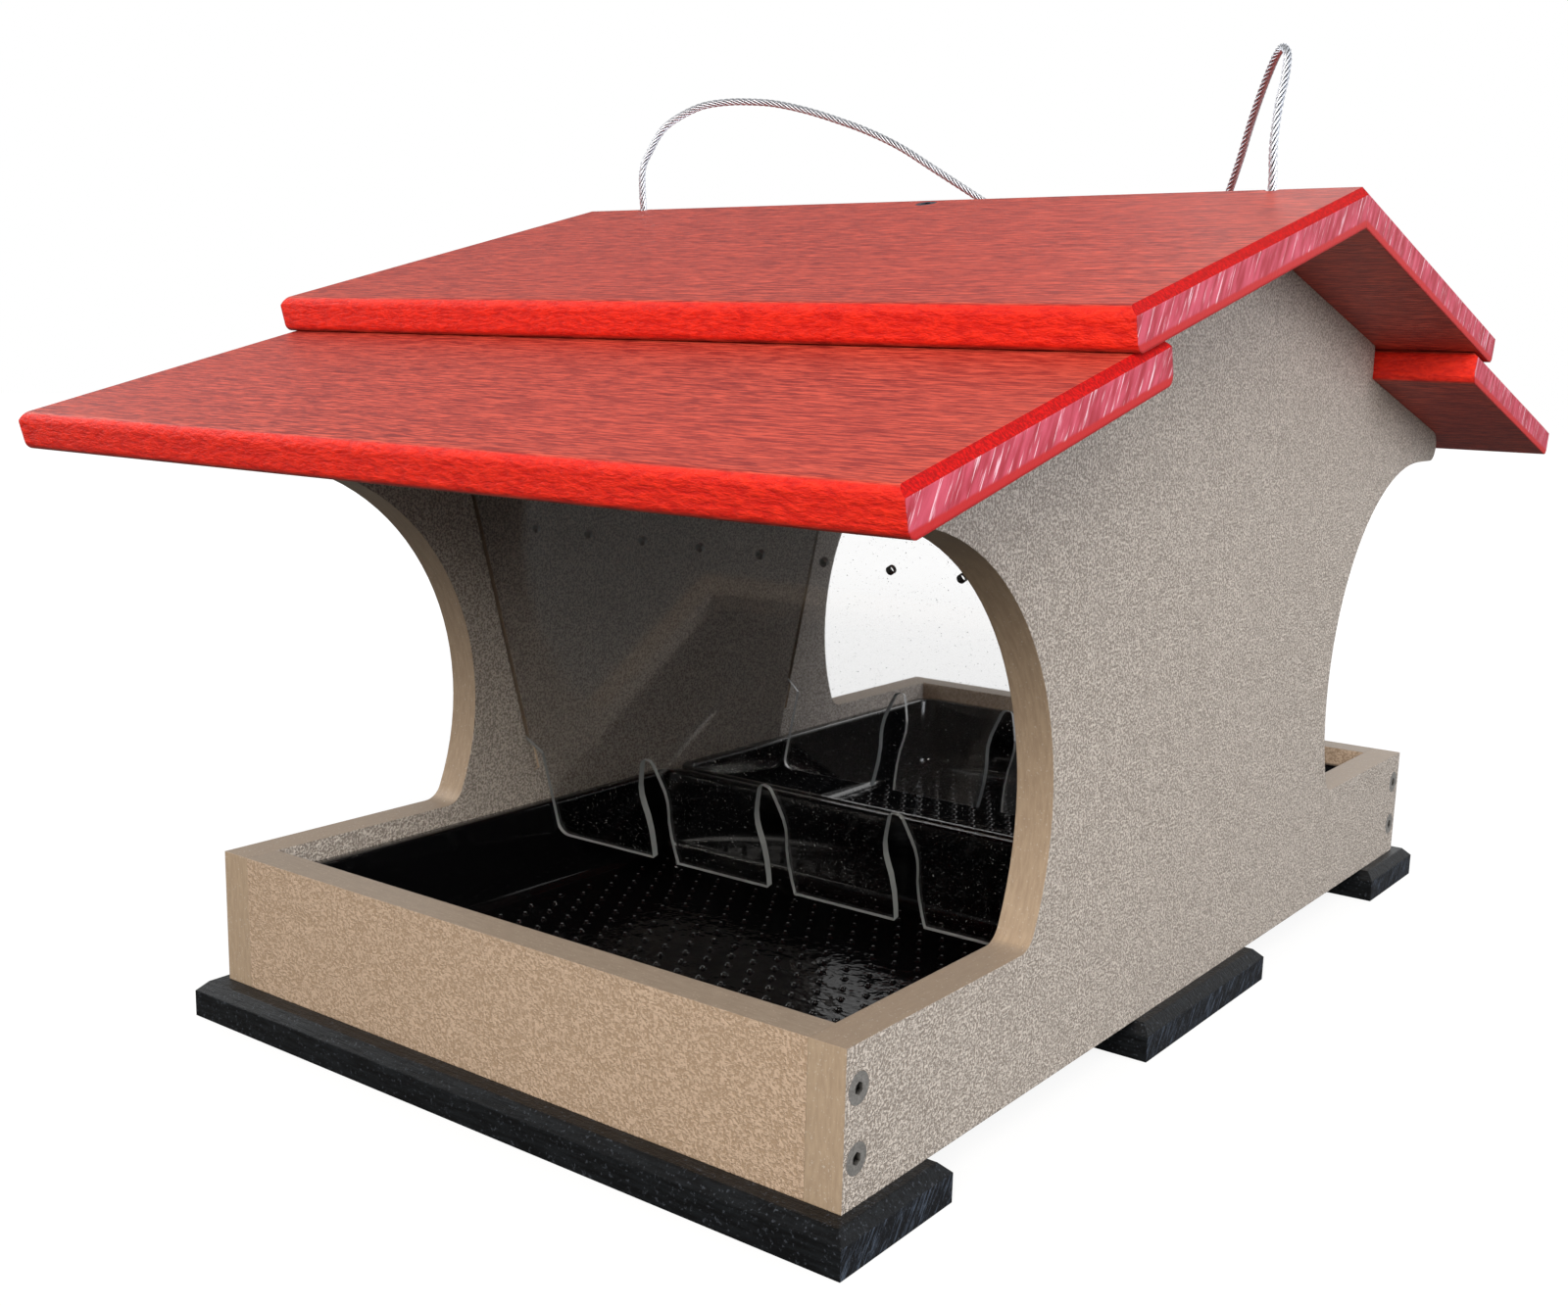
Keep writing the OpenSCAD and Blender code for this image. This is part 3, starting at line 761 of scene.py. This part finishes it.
@dataclass
class WireRope:
    """A laid wire cable: six strands round a core along a smooth line."""

    points: list[Vector]
    diameter: float
    finish: bpy.types.Material
    pitch: float = 15.0 * MM
    step: float = 1.2 * MM
    strands: int = 6
    sides: int = 6
    between: int = 12

    def line(self) -> list[Vector]:
        """The centre line: a smooth curve through the points, cut into equal steps.

        Returns:
            The places along it.
        """
        p = self.points
        fine = []
        for i in range(len(p) - 1):
            a, b, c, d = p[max(i - 1, 0)], p[i], p[i + 1], p[min(i + 2, len(p) - 1)]
            for k in range(self.between):
                t = k / self.between
                curve = (2 * a - 5 * b + 4 * c - d) * t * t + (3 * b - a - 3 * c + d) * t ** 3
                fine.append(0.5 * (2 * b + (c - a) * t + curve))
        fine.append(p[-1].copy())
        total = sum((fine[i + 1] - fine[i]).length for i in range(len(fine) - 1))
        count = max(4, round(total / self.step))
        out, want, gone = [fine[0].copy()], total / count, 0.0
        for i in range(len(fine) - 1):
            seg = fine[i + 1] - fine[i]
            while len(out) < count and gone + seg.length >= want * len(out) - 1e-12:
                out.append(fine[i] + seg * ((want * len(out) - gone) / seg.length))
            gone += seg.length
        out.append(fine[-1].copy())
        return out

    def length(self) -> float:
        """The length of the centre line in metres."""
        p = self.line()
        return sum((p[i + 1] - p[i]).length for i in range(len(p) - 1))

    def frames(self) -> list[tuple[Vector, Vector, Vector, float]]:
        """The line's places with two directions across it that never spin.

        Returns:
            For each place: where it is, the two directions, and the length gone so far.
        """
        line = self.line()
        side = Vector((0, 1, 0))
        out, gone = [], 0.0
        for i, c in enumerate(line):
            t = (line[min(i + 1, len(line) - 1)] - line[max(i - 1, 0)]).normalized()
            side = (side - t * side.dot(t)).normalized()
            if i:
                gone += (c - line[i - 1]).length
            out.append((c, side.copy(), t.cross(side), gone))
        return out

    def build(self, name: str) -> bpy.types.Object:
        """Makes the rope as one mesh.

        Args:
            name: The piece's name.

        Returns:
            The object.
        """
        strand = self.diameter / 6
        orbit = self.diameter / 2 - strand
        bm = bmesh.new()
        frames = self.frames()
        core, sides = self.strands, self.sides
        for s in range(self.strands + 1):
            rings = []
            for c, u, v, gone in frames:
                a = 2 * math.pi * (s / self.strands + gone / self.pitch)
                mid = c if s == core else c + (u * math.cos(a) + v * math.sin(a)) * orbit
                ring = []
                for k in range(sides):
                    b = a + 2 * math.pi * k / sides
                    ring.append(bm.verts.new(mid + (u * math.cos(b) + v * math.sin(b)) * strand))
                rings.append(ring)
            for r, q in zip(rings, rings[1:]):
                for k in range(sides):
                    bm.faces.new((r[k], r[(k + 1) % sides], q[(k + 1) % sides], q[k]))
            bm.faces.new(rings[0][::-1])
            bm.faces.new(rings[-1])
        return mesh_object(name, bm, self.finish)


@dataclass
class Hanger:
    """The wire cable: the free part above the ridge, its two tails and their stops."""

    finish: bpy.types.Material
    ferrule: bpy.types.Material

    def build(self) -> None:
        tails = self.tails()
        dress("cable_ferrules", self.ferrule)
        route = [Vector(p) * MM for p in CABLE_MM]
        rope = WireRope(route, CABLE_D, self.finish)
        free = rope.build("cable_rope")
        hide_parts("hanging_cable")
        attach(free, "roof")
        rope.length()
        rope.line()
        LOG.info("cable above the ridge: %.0f mm", rope.length() / MM)

    def tails(self) -> bpy.types.Object:
        """Makes the two tails, held in the panels.

        Returns:
            The object that holds both.
        """
        bm = bmesh.new()
        for sign in (1, -1):
            route = [Vector((sign * x, y, z)) * MM for x, y, z in TAIL_MM]
            obj = WireRope(route, CABLE_D, self.finish).build(f"tail_{sign}")
            bm.from_mesh(obj.data)
            bpy.data.objects.remove(obj)
        both = mesh_object("cable_tail_ropes", bm, self.finish)
        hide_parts("cable_tails")
        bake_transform(both)
        return both


def dress(node: str, finish: bpy.types.Material) -> bpy.types.Object:
    """Gives a CAD node its material.

    Args:
        node: The CAD node.
        finish: Its material.

    Returns:
        The node's object.
    """
    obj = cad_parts[node]
    obj.data.materials.clear()
    obj.data.materials.append(finish)
    return obj


@dataclass
class Housing:
    """End panels, rails, slats and their screws."""

    panel: bpy.types.Material
    rail: bpy.types.Material
    slat: bpy.types.Material
    steel: bpy.types.Material

    def build(self) -> None:
        """Dresses the housing's nodes."""
        for node in ("right_end_panel", "left_end_panel"):
            dress(node, self.panel)
        for node in ("front_rail", "rear_rail"):
            dress(node, self.rail)
        for node in ("front_slat", "middle_slat", "rear_slat"):
            dress(node, self.slat)
        for node in ("rail_screws", "slat_screws"):
            dress(node, self.steel)


@dataclass
class Roof:
    """The four boards, the cleat and the small screws."""

    board: bpy.types.Material
    steel: bpy.types.Material
    shaded_ridge_steel: bpy.types.Material

    def build(self) -> None:
        """Dresses the roof's nodes."""
        for node in ("front_upper_board", "rear_upper_board", "front_lower_board", "rear_lower_board"):
            dress(node, self.board)
        dress("ridge_cleat", self.board)
        for node in ("cleat_screws", "lap_screws"):
            dress(node, self.steel)
        # Painted shade: the ridge screw takes a darker steel, standing for the shade of its countersunk hole.
        dress("ridge_screw", self.shaded_ridge_steel)


@dataclass
class Windows:
    """The two clear windows."""

    clear: bpy.types.Material

    def build(self) -> None:
        """Dresses the windows."""
        for node in ("front_window", "rear_window"):
            dress(node, self.clear)


@dataclass
class Tray:
    """A moulded tray with a rolled lip, filleted floor and a hexagonal grid of raised dimples."""

    node: str
    side: int
    finish: bpy.types.Material
    # The material of the dimples' tips: painted glints.
    tips: bpy.types.Material
    half_w: float = 120.5 * MM
    y0: float = 0.25 * MM
    y1: float = 213.0 * MM
    height: float = 40.0 * MM
    lip: float = 3.0 * MM
    wall: float = 2.0 * MM
    floor: float = 2.5 * MM
    corner: float = 12.0 * MM
    fillet: float = 6.0 * MM
    pitch: float = 10.2 * MM
    row_pitch: float = 8.4 * MM
    dimple: float = 1.2 * MM
    rise: float = 1.25 * MM
    dimple_x: float = -0.11
    dimple_form: tuple[tuple[float, float], ...] = (
        (1.6, -0.02), (1.15, 0.08), (0.97, 0.34), (0.8, 0.62), (0.5, 0.87), (0.2, 0.98),
    )

    def ring(self, inset: float, n: int = 8) -> list[tuple[float, float]]:
        """One rounded rectangle.

        Args:
            inset: How far it lies inside the lip's outline.
            n: Steps round each corner.

        Returns:
            Its points as x and y, anticlockwise.
        """
        r = max(self.corner - inset, 1.0 * MM)
        x, a, b = self.half_w - inset, self.y0 + inset, self.y1 - inset
        corners = ((x - r, b - r, 0), (r - x, b - r, 90), (r - x, a + r, 180), (x - r, a + r, 270))
        out = []
        for cx, cy, start in corners:
            for k in range(n + 1):
                t = math.radians(start + 90 * k / n)
                out.append((cx + r * math.cos(t), cy + r * math.sin(t)))
        return out

    def profile(self) -> list[tuple[float, float]]:
        """The tray's section.

        Returns:
            Insets and heights from the wall's foot, over the lip and down to the floor.
        """
        h, w, f = self.height, self.wall, self.fillet
        inner = self.lip + w
        steps = [
            (self.lip, 0.6 * MM),
            (self.lip, h - 1.8 * MM),
            (0.2 * MM, h - 1.8 * MM),
            (0, h - 1.6 * MM),
            (0, h - 0.5 * MM),
            (0.5 * MM, h),
            (inner - 1.2 * MM, h),
            (inner - 0.3 * MM, h - 0.35 * MM),
            (inner, h - 1.2 * MM),
            (inner, self.floor + f),
        ]
        for k in range(1, 7):
            t = math.radians(90 * k / 6)
            steps.append((inner + f * (1 - math.cos(t)), self.floor + f * (1 - math.sin(t))))
        return steps

    def build(self) -> bpy.types.Object:
        """Makes the tray.

        Returns:
            The object, with its second material, painted pale as glints, on the tips of the dimples.
        """
        bm = bmesh.new()
        rings = []
        steps = [(self.lip + 0.6 * MM, 0.0)] + self.profile()
        for inset, z in steps:
            rings.append([bm.verts.new((x, self.side * y, z + SLAT_T)) for x, y in self.ring(inset)])
        n = len(rings[0])
        for a, b in zip(rings, rings[1:]):
            for k in range(n):
                bm.faces.new((a[k], a[(k + 1) % n], b[(k + 1) % n], b[k]))
        bm.faces.new(rings[0])
        bm.faces.new(rings[-1])
        self.dimples(bm)
        obj = mesh_object(f"{self.node}_moulding", bm, self.finish)
        obj.data.materials.append(self.tips)
        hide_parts(self.node)
        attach(obj, self.node)
        return obj

    def dimples(self, bm: bmesh.types.BMesh) -> None:
        """Adds the raised dimples of the floor as low domes.

        Args:
            bm: The tray's geometry.
        """
        edge = self.lip + self.wall + self.fillet + 1.5 * MM
        rows = int((self.y1 - self.y0) / self.row_pitch)
        z = SLAT_T + self.floor
        for j in range(rows + 1):
            y = self.y0 + edge + j * self.row_pitch
            if y > self.y1 - edge:
                break
            x = self.dimple_x + (j % 2) * self.pitch / 2
            while x < self.half_w - edge:
                if x > edge - self.half_w:
                    self.dome(bm, x, self.side * y, z)
                x += self.pitch

    def dome(self, bm: bmesh.types.BMesh, x: float, y: float, z: float) -> None:
        """One dimple: a small dome with a soft foot.

        Args:
            bm: The tray's geometry.
            x: Its place along the ridge.
            y: Its place across the ridge.
            z: The floor's height.
        """
        n, rings = 10, []
        for r, h in self.dimple_form:
            ring = []
            for k in range(n):
                t = 2 * math.pi * k / n
                at = (x + r * self.dimple * math.cos(t), y + r * self.dimple * math.sin(t), z + h * self.rise)
                ring.append(bm.verts.new(at))
            rings.append(ring)
        for a, b in zip(rings, rings[1:]):
            for k in range(n):
                bm.faces.new((a[k], a[(k + 1) % n], b[(k + 1) % n], b[k]))
        top = bm.verts.new((x, y, z + self.rise))
        for a, b in zip(rings[-1], rings[-1][1:] + rings[-1][:1]):
            bm.faces.new((a, b, top))
        # The tip faces take the second material: pale, as painted glints.
        tip = {face for vert in rings[-2] for face in vert.link_faces}
        for face in tip:
            if face.calc_center_median().z > rings[-2][0].co.z:
                face.material_index = 1
        for face in top.link_faces:
            face.material_index = 1


def main() -> None:
    """Builds the scene."""
    logging.basicConfig(level=logging.INFO)
    studio = Studio()
    studio.camera()
    wire = SteelFinish(
        "stainless steel wire, drawn and laid", "f2f6fc", "c8ccd4", 0.42, recess_mm=0.3
    ).build()
    ferrule = SteelFinish("aluminium, crimped", "b9babb", "8c8d8e", 0.4).build()
    screw = SteelFinish("stainless steel, cold headed", "eae7e2", "c4c1bc", 0.30).build()
    Hanger(wire, ferrule).build()
    panel = BoardFinish(
        "recycled polyethylene board, taupe, extruded and routed",
        skin_dark="867c72",
        skin_light="cac0b5",
        painted_glint="d8d2c8",
        # The cut faces are given tan: painted warmth of the light from the front.
        cut_dark="a08b75",
        cut_light="af9a82",
        skin_axis=Axis.X,
    ).build()
    # The rails are the panels' taupe board, painted tan as the warmth of the light from the front.
    rail = BoardFinish(
        "recycled polyethylene board, tan, extruded and sawn",
        skin_dark="a58d75",
        skin_light="c5ac95",
        painted_glint="d6c4b0",
        cut_dark="94826e",
        cut_light="ab9984",
        skin_axis=Axis.Y,
        relief_mm=0.22,
        grain_mm=0.85,
    ).build()
    Housing(panel, rail, SlatFinish().build(), screw).build()
    # Painted shade: darker than the other screws to stand for its shaded countersunk hole, with a wide reach
    # of painted recess shade.
    shaded_ridge_steel = SteelFinish("zinc-plated steel, painted dark as shade of its hole", "5c6478", "2a2e38", 0.4, recess_mm=3.0).build()
    Roof(RoofFinish().build(), screw, shaded_ridge_steel).build()
    Windows(ClearFinish().build()).build()
    tray = TrayFinish().build()
    # The dimples' tips are painted pale grey as the glints of light on them.
    tips = TrayFinish("high-impact polystyrene, black, tips painted pale as glints", "5c5e60", "8c8e90", 0.25).build()
    for node, side in (("front_tray", -1), ("rear_tray", 1)):
        Tray(node, side, tray, tips).build()
    studio.build()
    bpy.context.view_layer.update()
    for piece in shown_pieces():
        LOG.info("piece: %s", piece.name)


if __name__ == "__main__":
    main()
